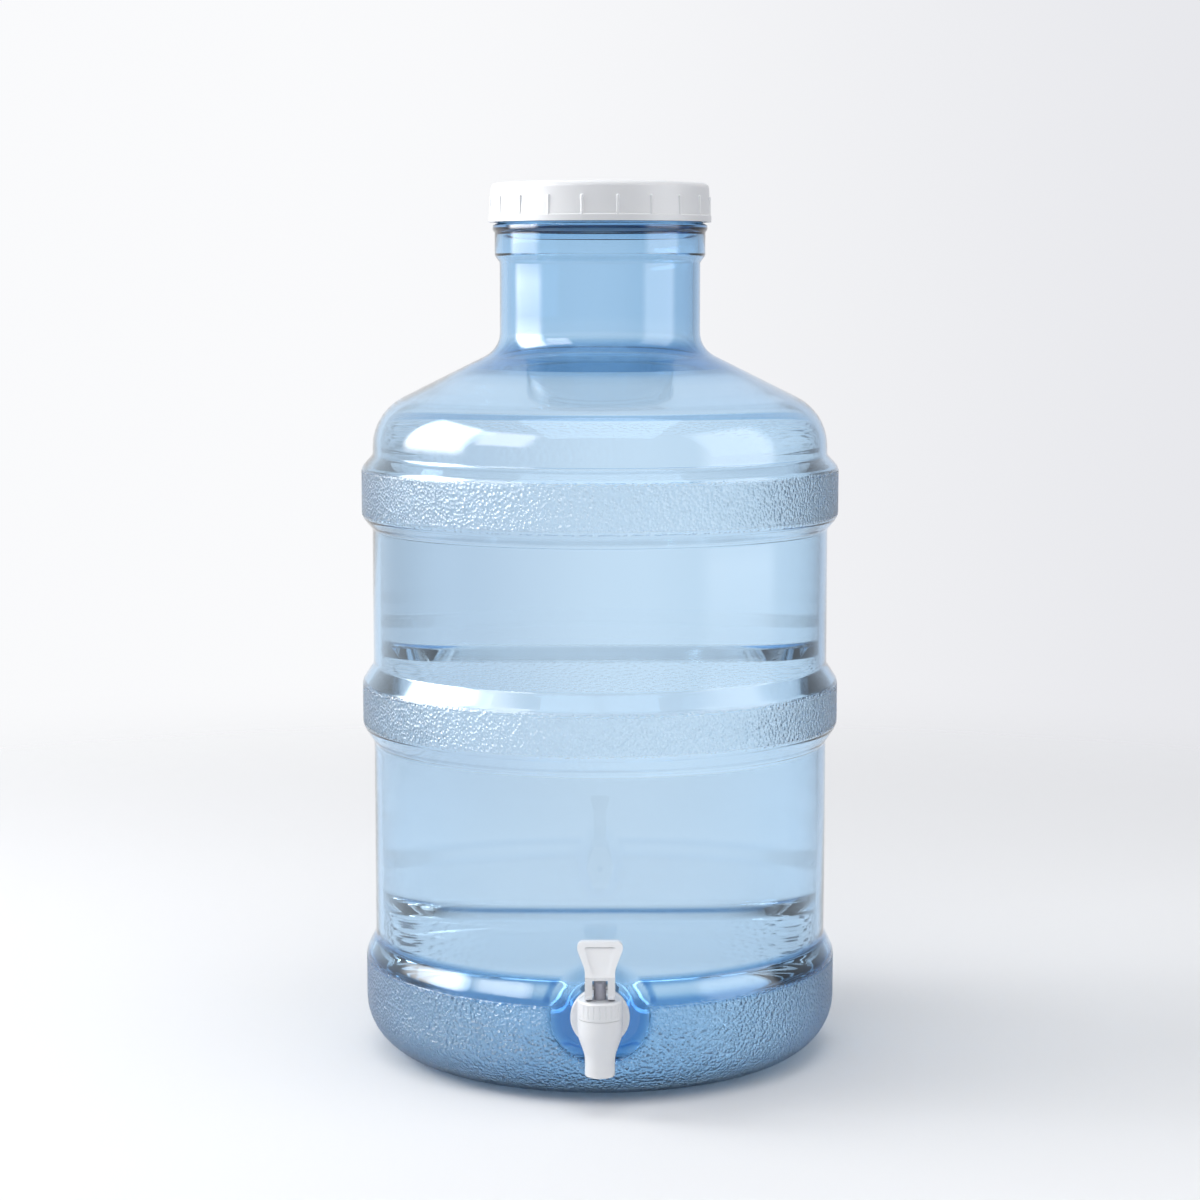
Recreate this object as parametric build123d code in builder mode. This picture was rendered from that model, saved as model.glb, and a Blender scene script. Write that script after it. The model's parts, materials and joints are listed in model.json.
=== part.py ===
"""Refillable water carboy: a blow-moulded vessel, its ribbed screw cap and a lever spigot.

The origin is on the floor, on the vessel's own axis. +Z is up, the spigot faces -Y.
"""

import os
from math import atan2, cos, radians, sin, tan

from build123d import *

# ---- driving dimensions, millimetres and degrees ----

# Vessel: radii of the outer skin, and how far each part of it stands out or in
base_radius = 134.1
base_stand_out = 5.4
middle_band_stand_out = 6.2
upper_band_stand_out = 5.9
shoulder_set_in = 0.5
neck_radius = 56.3
collar_stand_out = 2.8
finish_set_in = 1.8

# Vessel: heights, from the floor up to the middle band and from the mouth down to the upper one
mouth_height = 487.2
base_ledge_bottom = 55.5
base_ledge_height = 11.0
middle_band_centre = 199.5
middle_band_face = 24.8
middle_ledge_height = 9.5
upper_band_face = 27.6
upper_ledge_height = 7.0
shoulder_wall_height = 23.4
shoulder_slope = 26.4
neck_length = 47.8
neck_step_rise = 4.0
collar_length = 13.5
finish_step_rise = 2.0
finish_length = 21.2

# Vessel: roundings, wall and base
wall = 4.0
base_corner_rounding = 30.5
shoulder_rounding = 30.5
neck_root_rounding = 15.0
ledge_crest_rounding = 7.0
ledge_root_rounding = 1.5
neck_step_rounding = 2.5
finish_step_rounding = 0.8
smallest_inner_rounding = 0.5
push_up_height = 8.0
push_up_slope_width = 14.0
push_up_rounding = 10.0
foot_ring_width = 42.1

# Vessel: bead under the cap
bead_height = 3.6
bead_depth = 1.1
bead_above_collar = 2.4

# Recess and port for the spigot
port_height = 48.6
pad_depth = 5.7
pad_margin = 2.0
pad_step = 0.8
recess_floor_margin = 2.7
recess_flare = 45.0
port_clearance = 0.4

# Cap and liner
cap_bead_gap = 0.65
cap_top_thickness = 2.0
cap_thread_room = 2.5
cap_flange_width = 2.6
cap_flange_height = 3.2
cap_flange_step = 0.5
cap_wall_at_top = 1.1
cap_top_rounding = 3.2
cap_rib_count = 20
cap_rib_width = 2.0
cap_rib_height = 11.0
cap_rib_sink = 0.45
liner_thickness = 1.3
liner_gap = 0.05
liner_clearance = 0.5
seal_gap = 0.1

# Spigot body
stem_stand_off = 21.6
flange_radius = 15.8
flange_thickness = 3.2
flange_edge_rounding = 0.8
shank_radius = 7.9
shank_spare = 4.6
inlet_bore_radius = 3.5
inlet_bore_drop = 1.0
spigot_neck_taper = 2.3
spigot_neck_wall = 1.1
spigot_neck_drop = 0.8
barrel_radius = 11.85
barrel_neck_height = 6.7
barrel_neck_wall = 2.0
seam_above_port = 4.7
taper_below_port = 4.6
taper_length = 11.0
taper_top_rounding = 18.0
taper_bottom_rounding = 14.0
nozzle_radius = 7.95
nozzle_length = 10.8
nozzle_wall = 2.35
nozzle_lip_rounding = 0.7
seat_below_inlet = 0.1
seat_thickness = 1.4
seat_overlap = 1.6

# Gaskets and nut on the shank
gasket_thickness = 2.0
outer_gasket_inset = 1.2
inner_gasket_radius = 13.6
gasket_clearance = 0.1
nut_across_flats = 27.0
nut_thickness = 7.0
nut_chamfer = 1.0
thread_clearance = 0.05

# Bonnet
bonnet_wall = 2.35
bonnet_plate_thickness = 2.3
bonnet_seam = 0.2
bonnet_edge_rounding = 1.2
bonnet_skirt_clearance = 0.1
bonnet_flute_count = 24
bonnet_flute_radius = 0.7
bonnet_flute_depth = 0.3
bonnet_flute_margin = 1.6

# Stem and seat cup
stem_radius = 3.25
stem_clearance = 0.06
stem_foot_radius = 4.4
stem_foot_height = 1.5
stem_crown_radius = 4.1
cup_clearance = 0.05
cup_sole_thickness = 1.9
cup_plug_room = 1.2
cup_plug_height = 6.0
cup_wall = 0.9
cup_bell_room = 0.3
cup_rim_thickness = 1.0

# Lever and its pin
pin_radius = 1.5
pin_press_clearance = 0.02
pin_running_clearance = 0.06
pin_above_bonnet = 6.2
pin_end_recess = 0.2
foot_gap = 0.3
stem_lift = 3.0
lever_travel = 50.0
cam_points = 6
fork_leg_width = 3.85
fork_slot_clearance = 0.8
fork_roof_clearance = 1.6
fork_roof_web = 1.0
paddle_foot = 7.3
paddle_root = 11.0
paddle_top = 23.7
paddle_lean = 35.0
paddle_thickness = 3.8
paddle_web_height = 12.0
paddle_corner_half_width = 13.6
paddle_corner_rounding = 3.0
paddle_root_rounding = 8.0
heel_depth = 3.7
toe_overrun = 0.7
panel_top_margin = 2.8
panel_bottom_margin = 1.6
panel_top_half_width = 8.4
panel_bottom_half_width = 4.0
panel_depth = 0.8
panel_rounding = 1.2

# ---- places worked out from those sizes ----

body_radius = base_radius - base_stand_out
middle_band_radius = body_radius + middle_band_stand_out
upper_band_radius = body_radius + upper_band_stand_out
shoulder_radius = body_radius - shoulder_set_in
collar_radius = neck_radius + collar_stand_out
finish_radius = collar_radius - finish_set_in
foot_ring_inner = base_radius - foot_ring_width
push_up_radius = foot_ring_inner - push_up_slope_width

slope_rise = (shoulder_radius - neck_radius) * tan(radians(shoulder_slope))
finish_start = mouth_height - finish_length - finish_step_rise
neck_step_height = finish_start - collar_length - neck_step_rise
neck_root_height = neck_step_height - neck_length
shoulder_corner_height = neck_root_height - slope_rise
upper_ledge_top = shoulder_corner_height - shoulder_wall_height
middle_half_face = middle_band_face / 2
upper_half_face = upper_band_face / 2
upper_band_centre = upper_ledge_top - upper_ledge_height - upper_half_face
bead_top = finish_start + finish_step_rise + bead_above_collar

pad_reach = base_radius - pad_depth
pad_radius = flange_radius + pad_margin
recess_floor_radius = pad_radius + recess_floor_margin
floor_reach = pad_reach - pad_step
inner_pad_reach = floor_reach - wall
flange_back = pad_reach + gasket_thickness
flange_front = flange_back + flange_thickness
nut_face = inner_pad_reach - gasket_thickness
shank_end = nut_face - nut_thickness - shank_spare
stem_reach = pad_reach + stem_stand_off

inlet_bore_height = port_height - inlet_bore_drop
neck_end_height = port_height - spigot_neck_drop
neck_end_radius = inlet_bore_radius + spigot_neck_wall
neck_root_radius = neck_end_radius + spigot_neck_taper
seat_height = inlet_bore_height - inlet_bore_radius - seat_below_inlet
taper_top = port_height - taper_below_port
taper_bottom = taper_top - taper_length
nozzle_bottom = taper_bottom - nozzle_length
nozzle_bore_radius = nozzle_radius - nozzle_wall
barrel_neck_radius = barrel_radius - bonnet_wall - bonnet_skirt_clearance
chamber_radius = barrel_neck_radius - barrel_neck_wall
cup_plug_radius = chamber_radius - cup_plug_room
cup_bell_top_radius = chamber_radius - cup_bell_room
seat_opening_radius = cup_plug_radius - seat_overlap
bonnet_seam_height = port_height + seam_above_port
barrel_top = bonnet_seam_height + barrel_neck_height
rim_top = barrel_top + cup_rim_thickness
bonnet_bottom = bonnet_seam_height + bonnet_seam
bonnet_top = rim_top + bonnet_plate_thickness
pin_height = bonnet_top + pin_above_bonnet
fork_slot_half_width = stem_radius + fork_slot_clearance
fork_half_width = fork_slot_half_width + fork_leg_width
fork_roof = stem_crown_radius + fork_roof_clearance
foot_reach = pin_above_bonnet - foot_gap
cam_rate = stem_lift / radians(lever_travel)
stem_foot_bottom = seat_height + cup_sole_thickness
stem_foot_top = stem_foot_bottom + stem_foot_height

liner_bottom = mouth_height + seal_gap
liner_top = liner_bottom + liner_thickness
cap_underside = liner_top + liner_gap
cap_top = cap_underside + cap_top_thickness
cap_bottom = bead_top + cap_bead_gap
cap_bore_radius = finish_radius + cap_thread_room
cap_flange_radius = cap_bore_radius + cap_flange_width
cap_top_radius = cap_bore_radius + cap_wall_at_top

port_plane = Plane(origin=(0, 0, port_height), x_dir=(1, 0, 0), z_dir=(0, -1, 0))
inlet_plane = Plane(origin=(0, 0, inlet_bore_height), x_dir=(1, 0, 0), z_dir=(0, -1, 0))
vessel_axis = Axis.Z
vessel_section = Plane.XZ
spigot_section = Plane(origin=(0, -stem_reach, 0), x_dir=(1, 0, 0), z_dir=(0, -1, 0))
spigot_side = Plane(origin=(0, -stem_reach, pin_height), x_dir=(0, 1, 0), z_dir=(1, 0, 0))
lever_front = Plane(origin=(0, -stem_reach, pin_height), x_dir=(1, 0, 0), z_dir=(0, -1, 0))
spigot_axis = Axis((0, -stem_reach, 0), (0, 0, 1))


# ---- helpers ----


def band(centre, half_face, ledge, root_radius, face_radius):
    """Corners of a raised band, from its lower ledge to its upper one."""
    return [
        (root_radius, centre - half_face - ledge, ledge_root_rounding),
        (face_radius, centre - half_face, ledge_crest_rounding),
        (face_radius, centre + half_face, ledge_crest_rounding),
        (root_radius, centre + half_face + ledge, ledge_root_rounding),
    ]


def inset_corners(corners, distance):
    """The corners of a wall's inner face, which lies at this distance to the left of the outer one."""
    moved = []
    for i, (x, y, rounding) in enumerate(corners):
        before = corners[max(i - 1, 0)]
        after = corners[min(i + 1, len(corners) - 1)]
        first = atan2(y - before[1], x - before[0]) if i > 0 else None
        second = atan2(after[1] - y, after[0] - x) if i < len(corners) - 1 else None
        first = second if first is None else first
        second = first if second is None else second
        half_turn = (second - first) / 2
        middle = (first + second) / 2
        reach = distance / cos(half_turn)
        inner = rounding - distance if half_turn > 0 else rounding + distance
        inner = max(inner, smallest_inner_rounding)
        moved.append((x - reach * sin(middle), y + reach * cos(middle), inner))
    return moved


def skin(corners):
    """Draws rounded corners as one open line."""
    points = [(x, y) for x, y, rounding in corners]
    roundings = [rounding for x, y, rounding in corners[1:-1]]
    FilletPolyline(*points, radius=roundings)


# ---- vessel ----

vessel_corners = [
    (0, push_up_height, 0),
    (push_up_radius, push_up_height, push_up_rounding),
    (foot_ring_inner, 0, push_up_rounding),
    (base_radius, 0, base_corner_rounding),
    (base_radius, base_ledge_bottom, ledge_crest_rounding),
    (body_radius, base_ledge_bottom + base_ledge_height, ledge_root_rounding),
    *band(
        middle_band_centre,
        middle_half_face,
        middle_ledge_height,
        body_radius,
        middle_band_radius,
    ),
    (body_radius, upper_band_centre - upper_half_face - upper_ledge_height, ledge_root_rounding),
    (upper_band_radius, upper_band_centre - upper_half_face, ledge_crest_rounding),
    (upper_band_radius, upper_band_centre + upper_half_face, ledge_crest_rounding),
    (shoulder_radius, upper_ledge_top, ledge_root_rounding),
    (shoulder_radius, shoulder_corner_height, shoulder_rounding),
    (neck_radius, neck_root_height, neck_root_rounding),
    (neck_radius, neck_step_height, neck_step_rounding),
    (collar_radius, neck_step_height + neck_step_rise, neck_step_rounding),
    (collar_radius, finish_start, finish_step_rounding),
    (finish_radius, finish_start + finish_step_rise, finish_step_rounding),
    (finish_radius, mouth_height, 0),
]
cavity_corners = inset_corners(vessel_corners, wall)
cavity_floor_radius = recess_floor_radius + wall * tan(radians(recess_flare / 2))

# The room inside: the inner skin, less what the spigot's recess takes from it.
with BuildPart() as cavity:
    with BuildSketch(vessel_section):
        with BuildLine():
            skin(cavity_corners)
            inner_bottom = cavity_corners[0]
            inner_mouth = cavity_corners[-1]
            Polyline(
                (inner_mouth[0], inner_mouth[1]),
                (inner_mouth[0], mouth_height + wall),
                (0, mouth_height + wall),
                (inner_bottom[0], inner_bottom[1]),
            )
        make_face()
    revolve(axis=vessel_axis)
    with BuildSketch(port_plane.offset(inner_pad_reach)):
        Circle(cavity_floor_radius)
    extrude(
        amount=base_radius - inner_pad_reach,
        taper=-recess_flare,
        mode=Mode.SUBTRACT,
    )

with BuildPart() as vessel:
    with BuildSketch(vessel_section):
        with BuildLine():
            skin(vessel_corners)
            Polyline((finish_radius, mouth_height), (0, mouth_height), (0, push_up_height))
        make_face()
    revolve(axis=vessel_axis)
    # bead that the cap stops above
    with BuildSketch(vessel_section):
        with BuildLine():
            bead_foot = bead_top - bead_height
            bead_crest = collar_radius + bead_depth
            Polyline(
                (finish_radius - bead_depth, bead_foot - bead_depth),
                (collar_radius, bead_foot - bead_depth),
                (bead_crest, bead_foot),
                (bead_crest, bead_top - bead_depth),
                (finish_radius, bead_top),
                (finish_radius - bead_depth, bead_top),
                close=True,
            )
        make_face()
    revolve(axis=vessel_axis)
    # round recess with its flat pad
    with BuildSketch(port_plane.offset(floor_reach)):
        Circle(recess_floor_radius)
    extrude(
        amount=2 * (base_radius - floor_reach),
        taper=-recess_flare,
        mode=Mode.SUBTRACT,
    )
    with BuildSketch(port_plane.offset(inner_pad_reach)):
        Circle(pad_radius)
    extrude(amount=pad_reach - inner_pad_reach)
    add(cavity.part, mode=Mode.SUBTRACT)
    with BuildSketch(port_plane.offset(inner_pad_reach - wall)):
        Circle(shank_radius + port_clearance)
    extrude(amount=3 * wall, mode=Mode.SUBTRACT)
vessel.part.label = "vessel"

# ---- cap and liner ----

cap_wall_foot = cap_flange_radius - cap_flange_step
cap_wall_bottom = cap_bottom + cap_flange_height

# one grip rib with a round top, its foot sunk in the flange
rib_radius = cap_rib_width / 2
rib_foot = cap_bottom + cap_flange_height / 2
rib_shoulder = cap_wall_bottom + cap_rib_height - rib_radius
with BuildPart() as rib:
    with BuildSketch(vessel_section):
        with BuildLine():
            Line((0, rib_foot), (rib_radius, rib_foot))
            Line((rib_radius, rib_foot), (rib_radius, rib_shoulder))
            RadiusArc((rib_radius, rib_shoulder), (0, rib_shoulder + rib_radius), -rib_radius)
            Line((0, rib_shoulder + rib_radius), (0, rib_foot))
        make_face()
    revolve(axis=vessel_axis)

with BuildPart() as cap:
    with BuildSketch(vessel_section):
        with BuildLine():
            Polyline(
                (cap_bore_radius, cap_bottom),
                (cap_flange_radius, cap_bottom),
                (cap_flange_radius, cap_wall_bottom),
                (cap_wall_foot, cap_wall_bottom + cap_flange_step),
                (cap_top_radius, cap_top),
                (0, cap_top),
                (0, cap_underside),
                (cap_bore_radius, cap_underside),
                close=True,
            )
        make_face()
    revolve(axis=vessel_axis)
    fillet(cap.edges().filter_by(GeomType.CIRCLE).group_by(Axis.Z)[-1], cap_top_rounding)
    half_pitch = 180 / cap_rib_count
    rib_centre = cap_wall_foot - rib_radius + cap_rib_sink
    with PolarLocations(rib_centre, cap_rib_count, start_angle=half_pitch - 90):
        add(rib.part)
cap.part.label = "cap"

with BuildPart() as cap_liner:
    with BuildSketch(Plane.XY.offset(liner_bottom)):
        Circle(cap_bore_radius - liner_clearance)
    extrude(amount=liner_thickness)
cap_liner.part.label = "cap_liner"

# ---- spigot body ----

with BuildPart() as spigot_body:
    # barrel and nozzle
    with BuildSketch(spigot_section):
        with BuildLine():
            FilletPolyline(
                (0, nozzle_bottom),
                (nozzle_radius, nozzle_bottom),
                (nozzle_radius, taper_bottom),
                (barrel_radius, taper_top),
                (barrel_radius, bonnet_seam_height),
                (barrel_neck_radius, bonnet_seam_height),
                (barrel_neck_radius, barrel_top),
                (0, barrel_top),
                radius=[
                    nozzle_lip_rounding,
                    taper_bottom_rounding,
                    taper_top_rounding,
                    0,
                    0,
                    0,
                ],
            )
            Line((0, barrel_top), (0, nozzle_bottom))
        make_face()
    revolve(axis=spigot_axis)
    # neck that carries the barrel on the flange
    with BuildSketch(port_plane.offset(flange_front - flange_edge_rounding)):
        Circle(neck_root_radius)
    with BuildSketch(port_plane.offset(stem_reach - barrel_radius + flange_edge_rounding)):
        with Locations((0, neck_end_height - port_height)):
            Circle(neck_end_radius)
    loft()
    # flange
    with BuildSketch(port_plane.offset(flange_back)):
        Circle(flange_radius)
    extrude(amount=flange_thickness)
    flange_rims = spigot_body.edges().filter_by(GeomType.CIRCLE).sort_by(SortBy.LENGTH)[-2:]
    fillet(flange_rims.sort_by(Axis.Y)[0], flange_edge_rounding)
    # shank through the vessel's wall
    with BuildSketch(port_plane.offset(shank_end)):
        Circle(shank_radius)
    extrude(amount=flange_back - shank_end)
    # water way: inlet bore, chamber, seat and nozzle bore
    with BuildSketch(inlet_plane.offset(shank_end)):
        Circle(inlet_bore_radius)
    extrude(amount=stem_reach - shank_end, mode=Mode.SUBTRACT)
    with BuildSketch(spigot_section):
        with BuildLine():
            Polyline(
                (0, nozzle_bottom),
                (nozzle_bore_radius, nozzle_bottom),
                (nozzle_bore_radius, seat_height - seat_thickness),
                (seat_opening_radius, seat_height - seat_thickness),
                (seat_opening_radius, seat_height),
                (chamber_radius, seat_height),
                (chamber_radius, barrel_top),
                (0, barrel_top),
                close=True,
            )
        make_face()
    revolve(axis=spigot_axis, mode=Mode.SUBTRACT)
spigot_body.part.label = "spigot_body"

# ---- gaskets and nut ----


def gasket(back_reach, radius):
    """A flat ring on the shank, from this reach outwards."""
    with BuildPart() as ring:
        with BuildSketch(port_plane.offset(back_reach)):
            Circle(radius)
            Circle(shank_radius + gasket_clearance, mode=Mode.SUBTRACT)
        extrude(amount=gasket_thickness)
    return ring


outer_gasket = gasket(pad_reach, flange_radius - outer_gasket_inset)
outer_gasket.part.label = "outer_gasket"
inner_gasket = gasket(nut_face, inner_gasket_radius)
inner_gasket.part.label = "inner_gasket"

nut_corner_radius = nut_across_flats / 2 / cos(radians(30))
nut_section = Plane(
    origin=(0, nut_thickness - nut_face, port_height),
    x_dir=(1, 0, 0),
    z_dir=(0, 0, -1),
)
with BuildPart() as shank_nut:
    with BuildSketch(port_plane.offset(nut_face - nut_thickness)):
        RegularPolygon(nut_across_flats / 2, 6, major_radius=False)
    extrude(amount=nut_thickness)
    # corners turned off at the free face
    with BuildSketch(nut_section):
        with BuildLine():
            Polyline(
                (0, 0),
                (nut_corner_radius - 2 * nut_chamfer, 0),
                (nut_corner_radius, nut_chamfer),
                (nut_corner_radius, nut_thickness),
                (0, nut_thickness),
                close=True,
            )
        make_face()
    revolve(axis=Axis(nut_section.origin, nut_section.y_dir), mode=Mode.INTERSECT)
    with BuildSketch(port_plane.offset(nut_face - nut_thickness)):
        Circle(shank_radius + thread_clearance)
    extrude(amount=nut_thickness, mode=Mode.SUBTRACT)
shank_nut.part.label = "shank_nut"

# ---- bonnet ----

with BuildPart() as bonnet:
    with BuildSketch(spigot_section):
        with BuildLine():
            FilletPolyline(
                (barrel_neck_radius + bonnet_skirt_clearance, bonnet_bottom),
                (barrel_radius, bonnet_bottom),
                (barrel_radius, bonnet_top),
                (stem_radius + stem_clearance, bonnet_top),
                radius=[0, bonnet_edge_rounding],
            )
            Polyline(
                (stem_radius + stem_clearance, bonnet_top),
                (stem_radius + stem_clearance, rim_top),
                (barrel_neck_radius + bonnet_skirt_clearance, rim_top),
                (barrel_neck_radius + bonnet_skirt_clearance, bonnet_bottom),
            )
        make_face()
    revolve(axis=spigot_axis)
    # shallow grip flutes
    flute_length = bonnet_top - bonnet_bottom - 2 * bonnet_flute_margin
    flute_centre = barrel_radius + bonnet_flute_radius - bonnet_flute_depth
    with Locations((0, -stem_reach, bonnet_bottom + bonnet_flute_margin)):
        with PolarLocations(flute_centre, bonnet_flute_count):
            Cylinder(
                bonnet_flute_radius,
                flute_length,
                align=(Align.CENTER, Align.CENTER, Align.MIN),
                mode=Mode.SUBTRACT,
            )
bonnet.part.label = "bonnet"

# ---- stem and seat cup ----

with BuildPart() as stem:
    with BuildSketch(Plane.XY.offset(stem_foot_bottom)):
        with Locations((0, -stem_reach)):
            Circle(stem_foot_radius)
    extrude(amount=stem_foot_height)
    with BuildSketch(Plane.XY.offset(stem_foot_bottom)):
        with Locations((0, -stem_reach)):
            Circle(stem_radius)
    extrude(amount=pin_height + stem_crown_radius - stem_foot_bottom)
    # crown rounded about the pin, so that the lever's roof passes over it
    with BuildSketch(spigot_side.offset(-stem_radius)):
        with Locations((0, stem_crown_radius)):
            Rectangle(4 * stem_radius, 2 * stem_crown_radius)
        Circle(stem_crown_radius, mode=Mode.SUBTRACT)
    extrude(amount=2 * stem_radius, mode=Mode.SUBTRACT)
    with BuildSketch(spigot_side.offset(-stem_radius)):
        Circle(pin_radius + pin_running_clearance)
    extrude(amount=2 * stem_radius, mode=Mode.SUBTRACT)
stem.part.label = "stem"

with BuildPart() as seat_cup:
    with BuildSketch(spigot_section):
        with BuildLine():
            grip_radius = stem_radius + cup_clearance
            pocket_radius = stem_foot_radius + cup_clearance
            pocket_top = stem_foot_top + cup_clearance
            plug_top = seat_height + cup_plug_height
            Polyline(
                (0, seat_height),
                (cup_plug_radius, seat_height),
                (cup_plug_radius, plug_top),
                (cup_bell_top_radius, barrel_top),
                (barrel_neck_radius, barrel_top),
                (barrel_neck_radius, rim_top),
                (cup_bell_top_radius - cup_wall, rim_top),
                (cup_plug_radius - cup_wall, plug_top),
                (grip_radius, plug_top),
                (grip_radius, pocket_top),
                (pocket_radius, pocket_top),
                (pocket_radius, stem_foot_bottom),
                (0, stem_foot_bottom),
                close=True,
            )
        make_face()
    revolve(axis=spigot_axis)
seat_cup.part.label = "seat_cup"

# ---- lever and hinge pin ----


def cam_point(angle):
    """Where the toe touches at this tilt: it pushes the pin up at a constant rate."""
    reach = foot_reach + cam_rate * angle
    return (
        -reach * sin(angle) - cam_rate * cos(angle),
        -reach * cos(angle) + cam_rate * sin(angle),
    )


tilt = radians(lever_travel)
cam = [cam_point(tilt * step / (cam_points - 1)) for step in range(cam_points)]
toe = (cam[-1][0] - toe_overrun * cos(tilt), cam[-1][1] + toe_overrun * sin(tilt))
lean = radians(paddle_lean)
paddle_depth = paddle_thickness / cos(lean)
paddle_length = (paddle_top - paddle_foot) / cos(lean)
paddle_top_front = toe[0] + (paddle_top - paddle_foot) * tan(lean)
web_back = toe[0] + paddle_depth + (paddle_web_height - paddle_foot) * tan(lean)
paddle_face = Plane(
    origin=(0, toe[0] - stem_reach, pin_height + paddle_foot),
    x_dir=(1, 0, 0),
    z_dir=(0, -cos(lean), sin(lean)),
)

with BuildPart() as lever:
    # side view: flat heel, cam toe, upright fork and a paddle that leans back
    with BuildSketch(spigot_side.offset(-paddle_corner_half_width)):
        with BuildLine():
            Line((heel_depth, -foot_reach), cam[0])
            Spline(*cam, tangents=[(-1, 0), (-cos(tilt), sin(tilt))])
            Polyline(
                cam[-1],
                toe,
                (toe[0], paddle_foot),
                (paddle_top_front, paddle_top),
                (paddle_top_front + paddle_depth, paddle_top),
                (web_back, paddle_web_height),
                (heel_depth, fork_roof + fork_roof_web),
                (heel_depth, -foot_reach),
            )
        make_face()
    extrude(amount=2 * paddle_corner_half_width)
    # front view: straight fork, flared paddle
    lever_back = max(heel_depth, paddle_top_front + paddle_depth)
    with BuildSketch(lever_front.offset(-lever_back)):
        with BuildLine():
            right = [
                (fork_half_width, -foot_reach),
                (fork_half_width, paddle_root),
                (paddle_corner_half_width, paddle_top),
            ]
            left = [(-x, y) for x, y in reversed(right)]
            FilletPolyline(
                *right,
                *left,
                radius=[
                    paddle_root_rounding,
                    paddle_corner_rounding,
                    paddle_corner_rounding,
                    paddle_root_rounding,
                ],
            )
            Line(left[-1], right[0])
        make_face()
    extrude(amount=lever_back - toe[0], mode=Mode.INTERSECT)
    # slot of the fork
    with BuildSketch(lever_front.offset(-heel_depth)):
        with Locations((0, (fork_roof - foot_reach) / 2)):
            Rectangle(2 * fork_slot_half_width, fork_roof + foot_reach)
    extrude(amount=heel_depth - toe[0], mode=Mode.SUBTRACT)
    # sunk panel on the paddle's front
    with BuildSketch(paddle_face):
        with BuildLine():
            FilletPolyline(
                (panel_bottom_half_width, panel_bottom_margin),
                (panel_top_half_width, paddle_length - panel_top_margin),
                (-panel_top_half_width, paddle_length - panel_top_margin),
                (-panel_bottom_half_width, panel_bottom_margin),
                radius=panel_rounding,
                close=True,
            )
        make_face()
    extrude(amount=-panel_depth, mode=Mode.SUBTRACT)
    # pin holes through both legs
    with BuildSketch(spigot_side.offset(-fork_half_width)):
        Circle(pin_radius + pin_press_clearance)
    extrude(amount=2 * fork_half_width, mode=Mode.SUBTRACT)
lever.part.label = "lever"

pin_half_length = fork_half_width - pin_end_recess
with BuildPart() as hinge_pin:
    with BuildSketch(spigot_side.offset(-pin_half_length)):
        Circle(pin_radius)
    extrude(amount=2 * pin_half_length)
hinge_pin.part.label = "hinge_pin"

# ---- files ----

os.makedirs("parts", exist_ok=True)
export_step(vessel.part, "parts/vessel.step")
export_step(cap.part, "parts/cap.step")
export_step(cap_liner.part, "parts/cap_liner.step")
export_step(spigot_body.part, "parts/spigot_body.step")
export_step(outer_gasket.part, "parts/outer_gasket.step")
export_step(inner_gasket.part, "parts/inner_gasket.step")
export_step(shank_nut.part, "parts/shank_nut.step")
export_step(bonnet.part, "parts/bonnet.step")
export_step(stem.part, "parts/stem.step")
export_step(seat_cup.part, "parts/seat_cup.step")
export_step(lever.part, "parts/lever.step")
export_step(hinge_pin.part, "parts/hinge_pin.step")
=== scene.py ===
"""Looks of the carboy with spigot: blue shell, water, white plastics, floor, light, camera."""

import json
from math import atan2, ceil, cos, exp, hypot, pi, radians, sin, tan

import bpy
import numpy as np
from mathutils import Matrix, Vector


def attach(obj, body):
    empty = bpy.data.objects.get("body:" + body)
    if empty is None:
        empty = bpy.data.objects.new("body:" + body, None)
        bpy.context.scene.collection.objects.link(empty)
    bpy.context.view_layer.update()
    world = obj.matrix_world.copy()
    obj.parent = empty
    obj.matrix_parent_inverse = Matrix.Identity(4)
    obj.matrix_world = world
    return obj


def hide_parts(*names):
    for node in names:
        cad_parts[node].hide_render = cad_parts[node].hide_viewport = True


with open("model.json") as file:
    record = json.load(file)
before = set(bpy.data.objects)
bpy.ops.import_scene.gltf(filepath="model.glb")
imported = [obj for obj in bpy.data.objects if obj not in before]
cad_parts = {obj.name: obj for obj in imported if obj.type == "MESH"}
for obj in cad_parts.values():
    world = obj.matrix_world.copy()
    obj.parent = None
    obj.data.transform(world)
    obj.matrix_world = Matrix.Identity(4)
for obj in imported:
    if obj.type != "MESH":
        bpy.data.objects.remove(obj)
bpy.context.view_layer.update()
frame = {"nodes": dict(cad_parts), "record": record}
MM = 0.001

# ---- camera, in metres and degrees ----

CAMERA_DISTANCE = 1.569
CAMERA_HEIGHT = 0.4405
CAMERA_PITCH = 6.71
CAMERA_LENS = 83.25
SENSOR = 36.0

# ---- vessel, in millimetres: (radius, height, rounding) from the underside to the mouth ----

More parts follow.
